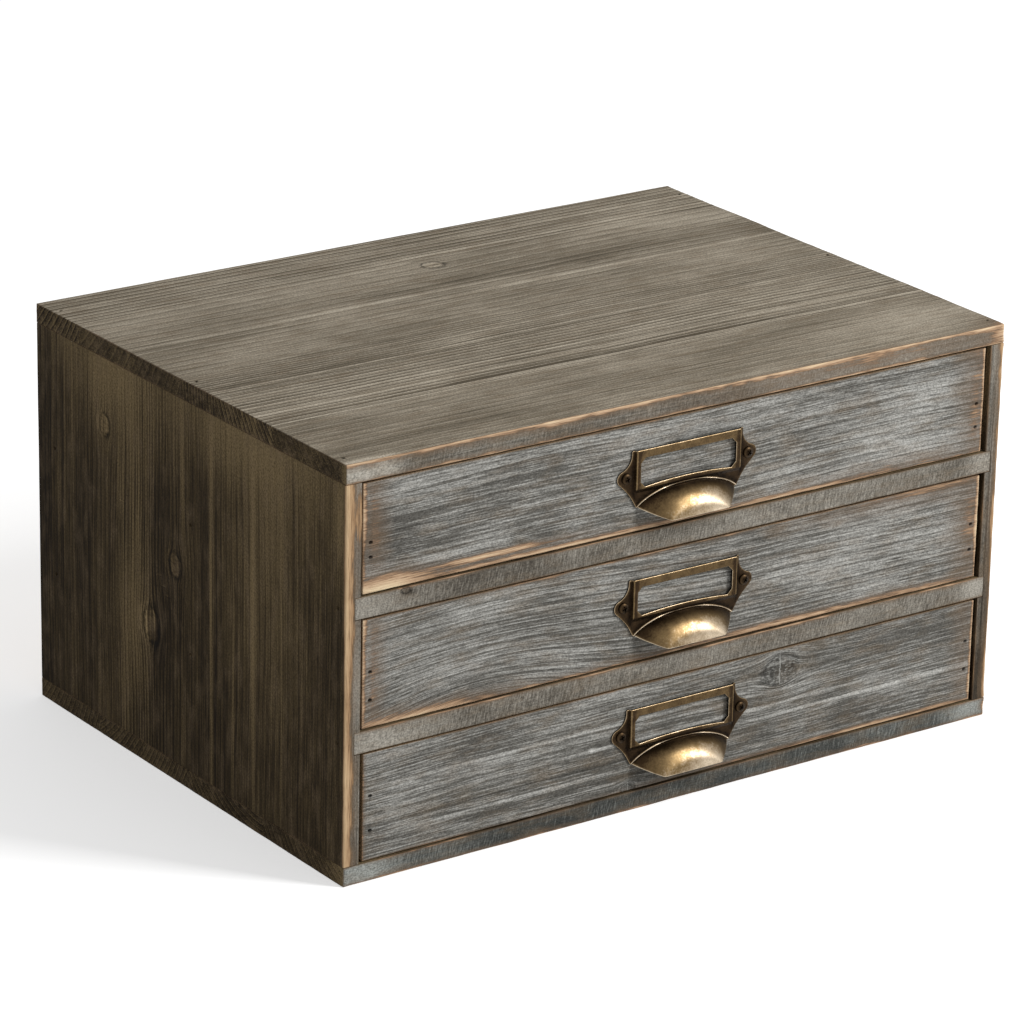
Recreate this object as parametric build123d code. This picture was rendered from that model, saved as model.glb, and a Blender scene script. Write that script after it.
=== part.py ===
from build123d import *
import os
from math import atan2, cos, degrees, radians, sin, sqrt

# Desktop chest of three drawers: nailed softwood boards, each drawer with a stamped brass pull
# that is a label frame and a finger cup in one. Millimetres, +X right, +Y to the back, +Z up.
# The origin is the middle of the case's underside, and the drawers pull out towards -Y.

# Case boards
case_width = 335.0
case_depth = 240.0
board_thickness = 8.5
side_thickness = 7.5
divider_thickness = 9.5
dado_depth = 3.0
back_thickness = 3.0
bay_height = 48.0
bay_names = ("bottom", "middle", "top")
arris = 0.9
joint_fit = 0.05
over_cut = 0.5

# Drawers
front_recess = 1.0
front_thickness = 8.5
side_gap = 1.5
top_gap = 1.0
rest_gap = 0.3
rear_gap = 3.0
box_side_thickness = 7.5
box_drop = 7.4
ply_thickness = 3.0
box_arris = 0.5
sideways_play = {"bottom": 0.5, "middle": -0.1, "top": -0.4}

# Collated brads: flat wire with a small T head, driven below the surface
brad_length = 20.0
brad_width = 1.2
wire_thickness = 1.0
brad_head_width = 1.9
brad_head_thickness = 0.6
brad_point = 2.0
set_depth = 0.7
brad_fit = 0.05
nails_in_a_row = 3
front_nail_inset = 8.0
rear_nail_inset = 14.0
divider_nail_inset = 5.5
back_nail_inset = 30.0
bottom_nail_inset = 18.0
back_nail_rises = (9.0, 27.0)
front_nail_rises = {
    "bottom": ((12.9, 27.9), (15.2, 28.2)),
    "middle": ((12.0, 24.0), (13.3, 25.0)),
    "top": ((15.2, 21.4), (11.7, 22.2)),
}

# Stamped pull, measured from the line through its two screws
pull_lift = {"bottom": 1.8, "middle": 1.7, "top": 0.5}
sheet = 0.8
plate_top = 11.4
window_half = 24.3
window_top_border = 3.5
window_bottom = 4.6
window_arch = 1.2
window_chamfer = 2.2
frame_side_border = 2.5
frame_stand = 1.9
frame_ramp = 2.0
frame_foot_border = 0.6
flange_width = 1.5
screw_from_plate = 2.7
ear_from_screw = 1.2
ear_radius = 3.3
ear_hollow = 7.0
waist_angle = 49.0
waist_lead = 7.0
waist_tail = 5.0
waist_tail_angle = 60.0
bead_width = 0.6
bead_stand = 0.3

# Cup of the pull
cup_half_width = 25.2
cup_crown_drop = 6.6
cup_arch = 6.7
cup_reach = 11.0
cup_front_half = 15.2
lip_fall = 4.7
lip_margin = 0.5
cup_sheet = 0.9
cup_stations = (0.0, 0.3, 0.58, 0.8, 0.93, 0.99)

# Pull screws: round head with a cross recess
screw_head = 4.8
screw_head_height = 1.3
screw_head_slope = 0.9
screw_shank = 2.2
screw_length = 7.5
screw_fit = 0.1
pilot_clearance = 0.8
recess_length = 2.4
recess_width = 0.6
recess_depth = 0.7

# Sizes worked out from the values above
bay_count = len(bay_names)
inner_width = case_width - 2 * side_thickness
side_height = bay_count * bay_height + (bay_count - 1) * divider_thickness
case_height = side_height + 2 * board_thickness
case_front = -case_depth / 2
case_back = case_depth / 2
side_middle = (inner_width + side_thickness) / 2

front_width = inner_width - 2 * side_gap
front_height = bay_height - rest_gap - top_gap
front_face = case_front + front_recess
box_front = front_face + front_thickness
box_back = case_back - back_thickness - rear_gap
box_side_height = front_height - box_drop - ply_thickness
box_side_middle = (front_width - box_side_thickness) / 2
box_depth = box_back - box_front

frame_half = window_half + frame_side_border
plate_half = frame_half + flange_width
screw_half_spacing = plate_half + screw_from_plate
cup_root = -cup_crown_drop - cup_arch
cup_front_lip = cup_root - lip_fall
cup_base = cup_front_lip - lip_margin
cup_rise = -cup_crown_drop - cup_base
cup_axis = cup_half_width / sqrt(1 - ((cup_root - cup_base) / cup_rise) ** 2)

parts = {}


def bay_floor(level):
    """Height of the board that the drawer of this level runs on."""
    return board_thickness + level * (bay_height + divider_thickness)


def plank(width, depth, height, edge):
    """Sawn board with its arrises broken, on the plane Z = 0 and centred on Z."""
    board = Box(width, depth, height, align=(Align.CENTER, Align.CENTER, Align.MIN))
    return chamfer(board.edges(), edge)


def spread(first, last, count):
    """Evenly spaced places from the first to the last."""
    return [first + (last - first) * step / (count - 1) for step in range(count)]


# Brads. Each is drawn hanging down from the wood's surface, and a nailing place is a plane on
# that surface: its normal points out of the wood and its X is the wide way of the head.

def brad_body(fit, mouth):
    """One brad, or with a fit and an open mouth the slot that it leaves in the wood."""
    head = brad_head_width / 2 + fit
    shank = brad_width / 2 + fit
    neck = -set_depth - brad_head_thickness - fit
    tip = -set_depth - brad_length - 2 * fit
    half = [(head, mouth), (head, neck), (shank, neck), (shank, tip + brad_point), (0.0, tip)]
    other = [(-x, z) for x, z in reversed(half[:-1])]
    outline = Plane.XZ * Polygon(*half, *other, align=None)
    return extrude(outline, wire_thickness / 2 + fit, both=True)


brad = brad_body(0.0, -set_depth)
brad_slot = brad_body(brad_fit, over_cut)


def nailing(x, y, z, out, wide):
    """Nailing place on a surface."""
    return Plane(origin=(x, y, z), x_dir=wide, z_dir=out).location


def nails(places):
    """Group of separate brads."""
    return Compound([place * brad for place in places])


def slotted(board, places):
    """Board with the slots of the brads that pass into it."""
    return board - [place * brad_slot for place in places]


# Case: where it is nailed

last_row = case_back - rear_nail_inset
rows = spread(case_front + front_nail_inset, last_row, nails_in_a_row)
divider_rows = spread(case_front + divider_nail_inset, last_row, nails_in_a_row)
back_nail_reach = inner_width / 2 - back_nail_inset
back_columns = spread(-back_nail_reach, back_nail_reach, nails_in_a_row)
divider_middles = [bay_floor(level) - divider_thickness / 2 for level in range(1, bay_count)]

top_places = [
    nailing(side * side_middle, y, case_height, (0, 0, 1), (0, 1, 0)) for side in (-1, 1) for y in rows
]
bottom_places = [
    nailing(side * side_middle, y, 0, (0, 0, -1), (0, 1, 0)) for side in (-1, 1) for y in rows
]
divider_places = [
    nailing(side * case_width / 2, y, z, (side, 0, 0), (0, 1, 0))
    for side in (-1, 1)
    for z in divider_middles
    for y in divider_rows
]
back_places = [
    nailing(x, case_back, z, (0, 1, 0), (1, 0, 0)) for x in back_columns for z in divider_middles
]

# Case: top and bottom boards with softened corners, over and under the sides

flat_board = plank(case_width, case_depth, board_thickness, arris)
parts["top_board"] = slotted(Pos(0, 0, case_height - board_thickness) * flat_board, top_places)
parts["bottom_board"] = slotted(flat_board, bottom_places)
parts["top_board_nails"] = nails(top_places)
parts["bottom_board_nails"] = nails(bottom_places)

# Case: side panels, each with a dado for every divider

for name, side in (("left_side", -1), ("right_side", 1)):
    panel = Pos(side * side_middle, 0, board_thickness) * plank(
        side_thickness, case_depth, side_height, arris
    )
    for z in divider_middles:
        dado = Box(2 * dado_depth, case_depth - back_thickness, divider_thickness + 2 * joint_fit)
        panel -= Pos(side * inner_width / 2, -back_thickness / 2, z) * dado
    parts[name] = slotted(panel, top_places + bottom_places + divider_places)

# Case: dividers let into the dados, and the plywood back between the sides

divider_width = inner_width + 2 * (dado_depth - joint_fit)
divider_depth = case_depth - back_thickness
for name, z in zip(("lower_divider", "upper_divider"), divider_middles):
    shelf = plank(divider_width, divider_depth, divider_thickness, arris)
    shelf = Pos(0, -back_thickness / 2, z - divider_thickness / 2) * shelf
    parts[name] = slotted(shelf, divider_places + back_places)
parts["divider_nails"] = nails(divider_places)

back_sheet = Box(inner_width - 2 * joint_fit, back_thickness, side_height - 2 * joint_fit)
back_sheet = Pos(0, case_back - back_thickness / 2, case_height / 2) * back_sheet
parts["back_panel"] = slotted(back_sheet, back_places)
parts["back_panel_nails"] = nails(back_places)


# Pull: one stamping of sheet brass. It is drawn on the drawer front's face, with the screw line
# at Z = 0 and its back on Y = 0, so a point that stands p in front of the wood has Y = -p.

def plate_outline():
    """Flat plate with a screw ear each side, drawn as ogee curves, and cut off under the cup."""
    ear = (screw_half_spacing + ear_from_screw, 0.0)
    across = plate_half + ear_hollow - ear[0]
    hollow = (plate_half + ear_hollow, sqrt((ear_radius + ear_hollow) ** 2 - across ** 2))
    lean = degrees(atan2(hollow[1], across))
    corner = (cup_half_width + bead_width, cup_root)
    side = [
        Line((0, plate_top), (plate_half, plate_top)),
        Line((plate_half, plate_top), (plate_half, hollow[1])),
        CenterArc(hollow, ear_hollow, 180, lean),
        CenterArc(ear, ear_radius, lean, -lean - waist_angle),
    ]
    waist = side[-1] @ 1
    lead = waist + Vector(-sin(radians(waist_angle)), -cos(radians(waist_angle))) * waist_lead
    climb = radians(waist_tail_angle)
    tail = Vector(*corner) + Vector(cos(climb), sin(climb)) * waist_tail
    side.append(Bezier(waist, lead, tail, corner))
    side.append(Line(corner, (0, cup_root)))
    side.append(Line((0, cup_root), (0, plate_top)))
    half = make_face(side)
    return half + mirror(half, Plane.YZ)


def window_outline():
    """Card window with its corners cut off and a slightly arched sill."""
    sill = window_half - window_chamfer
    top = plate_top - window_top_border
    low = -window_bottom
    arch = ThreePointArc((-sill, low), (0, low + window_arch), (sill, low))
    rim = Polyline(
        (sill, low),
        (window_half, low + window_chamfer),
        (window_half, top - window_chamfer),
        (sill, top),
        (-sill, top),
        (-window_half, top - window_chamfer),
        (-window_half, low + window_chamfer),
        (-sill, low),
    )
    return make_face([arch, rim])


def raised_frame(stand, half_width, ramp_foot, over_top):
    """Embossed block behind the window's rim, sloping back to the plate below the sill."""
    brow = plate_top + over_top
    shoulder = ramp_foot + frame_ramp
    side_view = Polygon((0, brow), (-stand, brow), (-stand, shoulder), (0, ramp_foot), align=None)
    return extrude(Plane.YZ * side_view, half_width, both=True)


def half_ellipse(half_width, rise):
    """Upper half of an ellipse on its flat base."""
    arc = EllipticalCenterArc((0, 0), half_width, rise, start_angle=0, arc_size=180)
    return make_face([arc, Line(arc @ 1, arc @ 0)])


def cup_dome(inset):
    """Dome that swells from the arch on the plate to the straight front of the cup."""
    sections = []
    for share in cup_stations:
        half_width = cup_axis - (cup_axis - cup_front_half) * share - inset
        rise = (cup_rise - inset) * sqrt(1 - share ** 2)
        origin = (0, -share * (cup_reach - inset), cup_base)
        station = Plane(origin=origin, x_dir=(1, 0, 0), z_dir=(0, -1, 0))
        sections.append(station * half_ellipse(half_width, rise))
    return loft(sections)


def pull():
    """Plate, raised card frame, bead and finger cup, all from one sheet."""
    outline = plate_outline()
    foot = -window_bottom - frame_foot_border - frame_ramp
    bead = Pos(0, cup_base) * Ellipse(cup_axis + bead_width, cup_rise + bead_width)
    body = extrude(Plane.XZ * outline, sheet)
    body += raised_frame(frame_stand, frame_half, foot, 0)
    body += extrude(Plane.XZ * (outline & bead), sheet + bead_stand)
    body += cup_dome(0)
    body -= raised_frame(frame_stand - sheet, frame_half - sheet, foot + sheet / 2, over_cut)
    body -= extrude(Plane.XZ * window_outline(), frame_stand + over_cut)
    body -= cup_dome(cup_sheet)
    lip_slope = lip_fall / cup_reach
    past = cup_reach + over_cut
    under = Polygon(
        (over_cut, cup_root + lip_slope * over_cut),
        (-past, cup_root - lip_slope * past),
        (-past, cup_base - over_cut),
        (over_cut, cup_base - over_cut),
        align=None,
    )
    body -= extrude(Plane.YZ * under, plate_half, both=True)
    for side in (-1, 1):
        hole = Cylinder(screw_shank / 2 + screw_fit, 2 * (sheet + over_cut), rotation=(90, 0, 0))
        body -= Pos(side * screw_half_spacing, 0, 0) * hole
    return body


def pull_screw():
    """Short screw, its low domed head resting on the plate."""
    crown = sheet + screw_head_height
    end = sheet - screw_length
    profile = Polyline(
        (0, end),
        (screw_shank / 2, end),
        (screw_shank / 2, sheet),
        (screw_head / 2, sheet),
        (screw_head / 2 - screw_head_slope, crown),
        (0, crown),
        close=True,
    )
    screw = revolve(Plane.XZ * make_face(profile), Axis.Z)
    cross = Box(recess_length, recess_width, 2 * recess_depth)
    cross += Box(recess_width, recess_length, 2 * recess_depth)
    return Rot(90, 0, 0) * (screw - Pos(0, 0, crown) * cross)


pull_body = pull()
screw_body = pull_screw()
pilot_depth = screw_length - sheet + pilot_clearance
pilot_hole = Cylinder(screw_shank / 2 + joint_fit, 2 * pilot_depth, rotation=(90, 0, 0))


# Drawers, each drawn with its underside at Z = 0 and then put in its bay

def drawer(bay, level):
    """Pieces of one drawer."""
    pull_height = bay_height / 2 - rest_gap + pull_lift[bay]
    screw_spots = [Pos(side * screw_half_spacing, front_face, pull_height) for side in (-1, 1)]
    front_places = [
        nailing(side * box_side_middle, front_face, rise, (0, -1, 0), (1, 0, 0))
        for side, rises in zip((-1, 1), front_nail_rises[bay])
        for rise in rises
    ]
    back_middle = box_back - box_side_thickness / 2
    back_places = [
        nailing(side * front_width / 2, back_middle, ply_thickness + rise, (side, 0, 0), (0, 1, 0))
        for side in (-1, 1)
        for rise in back_nail_rises
    ]
    under_rows = spread(box_front + bottom_nail_inset, box_back - bottom_nail_inset, nails_in_a_row)
    bottom_places = [
        nailing(side * box_side_middle, y, 0, (0, 0, -1), (0, 1, 0)) for side in (-1, 1) for y in under_rows
    ]
    bottom_places += [
        nailing(side * back_nail_reach, back_middle, 0, (0, 0, -1), (1, 0, 0)) for side in (-1, 1)
    ]

    front = plank(front_width, front_thickness, front_height, arris)
    front = Pos(0, front_face + front_thickness / 2, 0) * front
    front -= [spot * pilot_hole for spot in screw_spots]
    pieces = {"front": slotted(front, front_places)}

    for name, side in (("left_side", -1), ("right_side", 1)):
        board = plank(box_side_thickness, box_depth, box_side_height, box_arris)
        board = Pos(side * box_side_middle, (box_front + box_back) / 2, ply_thickness) * board
        pieces[name] = slotted(board, front_places + back_places + bottom_places)

    back_width = front_width - 2 * box_side_thickness
    back = plank(back_width, box_side_thickness, box_side_height, box_arris)
    back = Pos(0, back_middle, ply_thickness) * back
    pieces["back"] = slotted(back, back_places + bottom_places)

    ply = Box(front_width, box_depth, ply_thickness)
    ply = Pos(0, (box_front + box_back) / 2, ply_thickness / 2) * ply
    pieces["bottom"] = slotted(ply, bottom_places)

    pieces["front_nails"] = nails(front_places)
    pieces["back_nails"] = nails(back_places)
    pieces["bottom_nails"] = nails(bottom_places)
    pieces["pull"] = Pos(0, front_face, pull_height) * pull_body
    pieces["pull_screws"] = Compound([spot * screw_body for spot in screw_spots])
    place = Pos(sideways_play[bay], 0, bay_floor(level) + rest_gap)
    return {name: place * piece for name, piece in pieces.items()}


for level, bay in enumerate(bay_names):
    for name, piece in drawer(bay, level).items():
        parts[f"{bay}_drawer_{name}"] = piece

# One file for each piece

os.makedirs("parts", exist_ok=True)
for name, piece in parts.items():
    export_step(piece, f"parts/{name}.step")

print("case", case_width, case_depth, case_height, "pieces", len(parts))
print("screw spacing of a pull", 2 * screw_half_spacing)
print("pull width", 2 * (screw_half_spacing + ear_from_screw + ear_radius))
drawer_inside = (front_width - 2 * box_side_thickness, box_depth - box_side_thickness, box_side_height)
print("inside of a drawer", *drawer_inside)
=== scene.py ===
import itertools
from math import atan2, cos, pi, radians, sin, sqrt

import bpy
import numpy as np
from mathutils import Matrix, Vector
from mathutils.geometry import delaunay_2d_cdt


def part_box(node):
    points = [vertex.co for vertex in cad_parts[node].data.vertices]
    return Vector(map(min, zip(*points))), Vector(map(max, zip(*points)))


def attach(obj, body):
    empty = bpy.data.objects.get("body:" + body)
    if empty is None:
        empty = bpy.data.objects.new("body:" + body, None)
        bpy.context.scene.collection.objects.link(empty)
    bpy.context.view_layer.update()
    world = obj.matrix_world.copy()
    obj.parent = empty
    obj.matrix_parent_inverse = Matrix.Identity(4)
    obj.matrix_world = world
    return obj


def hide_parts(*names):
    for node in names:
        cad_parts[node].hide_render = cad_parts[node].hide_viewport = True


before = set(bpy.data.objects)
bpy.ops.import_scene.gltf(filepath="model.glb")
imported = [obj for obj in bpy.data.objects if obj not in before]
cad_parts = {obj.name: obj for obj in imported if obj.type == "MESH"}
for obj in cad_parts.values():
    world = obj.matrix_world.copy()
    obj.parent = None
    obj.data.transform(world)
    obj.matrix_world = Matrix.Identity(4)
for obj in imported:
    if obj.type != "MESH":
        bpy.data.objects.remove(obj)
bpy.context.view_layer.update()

# Camera: a long lens two metres off, to the left of the chest and a little above it. The frame is
# rolled by a degree, and it is moved sideways by five of the picture's 1024 pixels.
azimuth, elevation, roll = radians(-35.57), radians(20.32), radians(1.19)
distance, lens_mm, sensor_mm = 2.147, 175.1, 36.0
aim = Vector((0.0, 0.0, 0.09))
back = Vector((sin(azimuth) * cos(elevation), -cos(azimuth) * cos(elevation), sin(elevation)))
level_right = Vector((0, 0, 1)).cross(back).normalized()
level_up = back.cross(level_right)
right = cos(roll) * level_right + sin(roll) * level_up
up = cos(roll) * level_up - sin(roll) * level_right
lens = bpy.data.cameras.new("camera")
lens.lens, lens.sensor_width, lens.shift_x = lens_mm, sensor_mm, -4.9 / 1024
camera = bpy.data.objects.new("camera", lens)
turned = Matrix((right, up, back)).transposed().to_4x4()
camera.matrix_world = Matrix.Translation(aim + distance * back) @ turned
bpy.context.scene.collection.objects.link(camera)
bpy.context.scene.camera = camera


# Bottom board: one wide softwood board with the side panels standing on its ends. It is sawn,
# stained grey-brown, nailed up from below, and its front arris is rubbed back to bare pine.

mm = 0.001
face_of = dict(left=(0, -1), right=(0, 1), front=(1, -1), back=(1, 1), under=(2, -1), top=(2, 1))
arris_steps = np.array([0, 0.12, 0.3, 0.55, 0.85, 1.2, 1.6, 2.1])
pit_steps = np.array([0.25, 0.45, 0.6, 0.8, 1.0, 1.2])
pit_depth, pit_wall, knot_length, least_pitch = 0.68, 0.55, 1.2, 0.015
tiny, on_face = 1e-9, 1e-6


def corners(node):
    """Low and high corner of a CAD node, in millimetres."""
    return (np.array(corner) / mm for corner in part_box(node))


def drift(x, y=0.0, z=0.0, seed=0):
    """Smooth random field from 0 to 1: one random value at each whole number, eased in between."""
    places = np.stack(np.broadcast_arrays(x, y, z), axis=-1).astype(float)
    low = np.floor(places).astype(np.int64)
    share = places - low
    share = share * share * (3 - 2 * share)
    total = np.zeros(places.shape[:-1])
    for corner in itertools.product((0, 1), repeat=3):
        i, j, k = np.moveaxis(low + corner, -1, 0)
        number = (i * 374761393 + j * 668265263 + k * 1440662683 + (seed + 1) * 1274126177) & 0xFFFFFFFF
        number = ((number ^ (number >> 13)) * 1274126177) & 0xFFFFFFFF
        weight = np.prod(np.where(corner, share, 1 - share), axis=-1)
        total += weight * ((number ^ (number >> 16)) & 0xFFFF) / 0xFFFF
    return total


def cutting_lines(low, high, pitch, close=(), exact=()):
    """Places where the surface net is cut across: closer at the arrises and round each brad."""
    inner = np.linspace(low + arris_steps[-1], high - arris_steps[-1], max(2, round((high - low) / pitch)))
    near = [place + side * pit_steps for place in close for side in (-1, 1)]
    every = np.concatenate([low + arris_steps, high - arris_steps, inner, *near, exact])
    every = np.sort(every[(every >= low) & (every <= high)])
    kept = every[np.concatenate([[True], np.diff(every) > least_pitch])]
    kept[-1] = high
    return kept


def net(lines, solid):
    """Outer faces of the solid cells between three sets of cutting lines."""
    sizes = [len(line) for line in lines]
    quads = []
    for axis in range(3):
        second, third = (axis + 1) % 3, (axis + 2) % 3
        trim = tuple(slice(None) if a == axis else slice(1, -1) for a in range(3))
        change = np.diff(np.pad(solid, 1).astype(np.int8), axis=axis)[trim]
        for way in (-1, 1):
            cell = np.argwhere(change == -way)
            corners = np.repeat(cell[:, None, :], 4, axis=1)
            corners[:, (1, 2), second] += 1
            corners[:, (2, 3), third] += 1
            quads.append(corners if way > 0 else corners[:, ::-1])
    quads = np.concatenate(quads)
    number = (quads[..., 0] * sizes[1] + quads[..., 1]) * sizes[2] + quads[..., 2]
    used, quads = np.unique(number, return_inverse=True)
    i, j, k = used // (sizes[1] * sizes[2]), used // sizes[2] % sizes[1], used % sizes[2]
    return np.stack([lines[0][i], lines[1][j], lines[2][k]], axis=-1), quads.reshape(-1, 4)


def brads_in(node):
    """Low and high corner of each brad of a group, in millimetres."""
    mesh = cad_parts[node].data
    spots = np.array([v.co for v in mesh.vertices]) / mm
    _, same = np.unique(spots.round(3), axis=0, return_inverse=True)
    same = same.ravel()
    group = np.arange(same.max() + 1)
    for face in mesh.polygons:
        members = group[same[list(face.vertices)]]
        group[np.isin(group, members)] = members.min()
    return [(spots[group[same] == g].min(0), spots[group[same] == g].max(0)) for g in np.unique(group)]


def heads_on(low, high, groups):
    """Brad heads under each face of a board, as (axis, way, middle, half size)."""
    found = []
    for group in groups:
        for start, end in brads_in(group):
            axis = int(np.argmax(end - start))
            middle, half = (start + end) / 2, (end - start) / 2
            others = [a for a in range(3) if a != axis]
            inside = all(low[a] < middle[a] < high[a] for a in others)
            for way, face, head in ((-1, low[axis], start[axis]), (1, high[axis], end[axis])):
                if inside and abs(face - head) < 1.0:
                    found.append((axis, way, middle, half))
    return found


def make_piece(name, points, faces, material, body, replaces=(), fields=None):
    """Mesh in millimetres, ridden on its body and standing for its CAD nodes."""
    mesh = bpy.data.meshes.new(name)
    mesh.from_pydata((np.asarray(points) * mm).tolist(), [], [list(f) for f in faces])
    mesh.update()
    for key, values in (fields or {}).items():
        kind, part = ("FLOAT_VECTOR", "vector") if np.ndim(values) == 2 else ("FLOAT", "value")
        attribute = mesh.attributes.new(key, kind, "POINT")
        attribute.data.foreach_set(part, np.asarray(values, np.float32).ravel())
    mesh.materials.append(material)
    mesh.shade_smooth()
    mesh.set_sharp_from_angle(angle=radians(50))
    piece = bpy.data.objects.new(name, mesh)
    bpy.context.scene.collection.objects.link(piece)
    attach(piece, body)
    if replaces:
        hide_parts(*replaces)
    return piece


def arris_wear(place, low, high, eased, worn, seed):
    """How round the arris is near each point, and how far it is rubbed back to bare wood."""
    radius_sum, weight_sum = np.full(len(place), eased * tiny), np.full(len(place), tiny)
    wear = np.full(len(place), -3.0)
    for number, (first, second) in enumerate(itertools.combinations(face_of, 2)):
        (a, way_a), (b, way_b) = face_of[first], face_of[second]
        if a == b:
            continue
        from_a = place[:, a] - low[a] if way_a < 0 else high[a] - place[:, a]
        from_b = place[:, b] - low[b] if way_b < 0 else high[b] - place[:, b]
        along, at = np.unique(place[:, 3 - a - b], return_inverse=True)
        radius, strength, on_first, on_second = worn.get(f"{first} {second}", (eased, -0.8, 0.5, 0.5))
        own = seed * 31 + number
        swell, ripple = drift(along / 17, seed=own), drift(along / 4, seed=own + 500)
        radius = radius * (0.55 + 0.6 * swell + 0.35 * ripple)[at]
        weight = np.exp(-(from_a + from_b) / 1.2)
        radius_sum += weight * radius
        weight_sum += weight
        long_rub, short_rub = drift(along / 23, seed=own + 900), drift(along / 5, seed=own + 1300)
        strength = strength + 0.9 * long_rub + 0.5 * short_rub - 0.7
        wear = np.maximum(wear, strength[at] - from_b / on_first - from_a / on_second)
    return (radius_sum / weight_sum)[:, None], wear


def growth_rings(place, base, strips, knots, bends, seed):
    """Growth rings round each strip's pith, pushed aside by knots and bends, at places along the grain,
    across it and deep. base is the board's under side."""
    run, flat, depth = place.T
    wander = 2 * drift(run / 85, flat / 55, seed=seed + 40) - 1
    flutter = 2 * drift(run / 30, flat / 9, seed=seed + 41) - 1
    across = flat + (wander + 0.4 * flutter)
    from_knot = np.full(place.shape, 90.0)
    for number, (middle_run, middle_across, size, *level) in enumerate([*knots, *bends]):
        rise = depth - (level or depth)
        away = [(run - middle_run) / knot_length, flat - middle_across, rise]
        away = np.stack(away, axis=-1) / size
        reach = np.linalg.norm(away, axis=1)
        across -= 0.7 * (across - middle_across) / np.maximum(reach, 1) ** 2
        if number < len(knots):
            nearer = reach < np.linalg.norm(from_knot, axis=1)
            from_knot[nearer] = away[nearer]
    strip = np.searchsorted([edge for edge, *_ in strips[:-1]], flat)
    _, pith_across, pith_depth, spacing, tone, contrast = np.array(strips, float)[strip].T
    ring = np.hypot(across - pith_across, depth - base - pith_depth) / spacing + run / 400
    return {"grain": np.stack([run, across, depth], axis=-1), "from_knot": from_knot, "ring": ring,
            "contrast": contrast, "tone": tone}


def brushed_out(fields, relief, seed):
    """How deep the wire brush has worn the soft early wood between the rings."""
    share, (run, across, depth) = fields["ring"] % 1, fields["grain"].T
    ridge = np.clip(share / 0.8, 0, 1) ** 3 * np.clip((1 - share) / 0.12, 0, 1)
    uneven = 0.35 + 0.65 * drift(run / 30, across / 1.7, depth / 1.7, seed=seed + 77)
    return relief * (1 - ridge * fields["contrast"]) * uneven


def nail_pits(place, low, high, heads):
    """How far each point lies in the pit over a brad: 0 outside, 1 on its floor."""
    pit = np.zeros(len(place))
    for axis, way, middle, half in heads:
        face = low[axis] if way < 0 else high[axis]
        away = (place - middle) / (0.5 * half + pit_wall)
        away[:, axis] = 9.0 * (np.abs(place[:, axis] - face) > on_face)
        pit = np.maximum(pit, np.clip(4 - 4 * np.linalg.norm(away, axis=1), 0, 1))
    return pit


def board(node, body, slot, material, grain, wide, pitch, strips, knots=(), bends=(), tones=(), rubs=(),
          worn={}, notches=(), brads=(), eased=0.3, relief=0.1, seed=0):
    """Sawn board over its CAD node: eased and worn arrises, brushed grain and the pits over its brads.
    grain and wide are the axes along and across it. A strip is its far edge, its pith's place (across,
    deep), ring spacing, tone and contrast. A knot or a bend is its place, its size and, if it doesn't go
    through, its level. A paler or darker tone and a rub are a middle, a reach each way and an amount."""
    low, high = corners(node)
    thick = 3 - grain - wide
    heads = heads_on(low, high, brads)
    lines = []
    for axis in range(3):
        close = [middle[axis] for a, _, middle, _ in heads if a != axis]
        exact = [edge for box in notches for edge in box[axis]]
        if axis == wide:
            exact += [edge + side * 0.01 for edge, *_ in strips[:-1] for side in (-1, 1)]
        lines.append(cutting_lines(low[axis], high[axis], pitch[axis], close, exact))
    middles = np.meshgrid(*[(line[1:] + line[:-1]) / 2 for line in lines], indexing="ij")
    solid = np.ones(middles[0].shape, bool)
    for box in notches:
        solid &= ~np.all([(box[a][0] < middles[a]) & (middles[a] < box[a][1]) for a in range(3)], axis=0)
    place, quads = net(lines, solid)
    radius, wear = arris_wear(place, low, high, eased, worn, seed)

    def away_from(spot):
        """How many reaches each point is from the middle of a tone or a rub."""
        middle, reach = np.split(np.array(spot), 2)
        return np.linalg.norm((place[:, (grain, wide, thick)[:len(middle)]] - middle) / reach, axis=1)

    for *spot, amount in rubs:
        wear = np.maximum(wear, amount - away_from(spot))
    skin = np.minimum(place - low, high - place).min(axis=1) < on_face
    core = np.clip(place, low + radius, high - radius)
    out = place - core
    out /= np.maximum(np.linalg.norm(out, axis=1), tiny)[:, None]
    out[~skin] = 0
    shaped = np.where(skin[:, None], core + out * radius, place)
    fields = growth_rings(place[:, (grain, wide, thick)], low[thick], strips, knots, bends, seed)
    for *spot, amount in tones:
        fields["tone"] += amount * np.exp(-away_from(spot) ** 2)
    pit = nail_pits(place, low, high, heads)
    shaped -= out * (brushed_out(fields, relief, seed) * (1 - pit) + pit_depth * pit)[:, None]
    fields.update(wear=wear, pit=pit, front=np.clip(-out[:, 1], 0, 1) ** 2, up=np.clip(out[:, 2], 0, 1) ** 2)
    return make_piece(f"{node}_wood", shaped, quads, material, body, [node], fields)


def linear(hex_colour):
    """sRGB hex colour as the linear numbers that a shader takes."""
    channels = [int(hex_colour[i:i + 2], 16) / 255 for i in (1, 3, 5)]
    return (*[c / 12.92 if c <= 0.04045 else ((c + 0.055) / 1.055) ** 2.4 for c in channels], 1.0)


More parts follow.
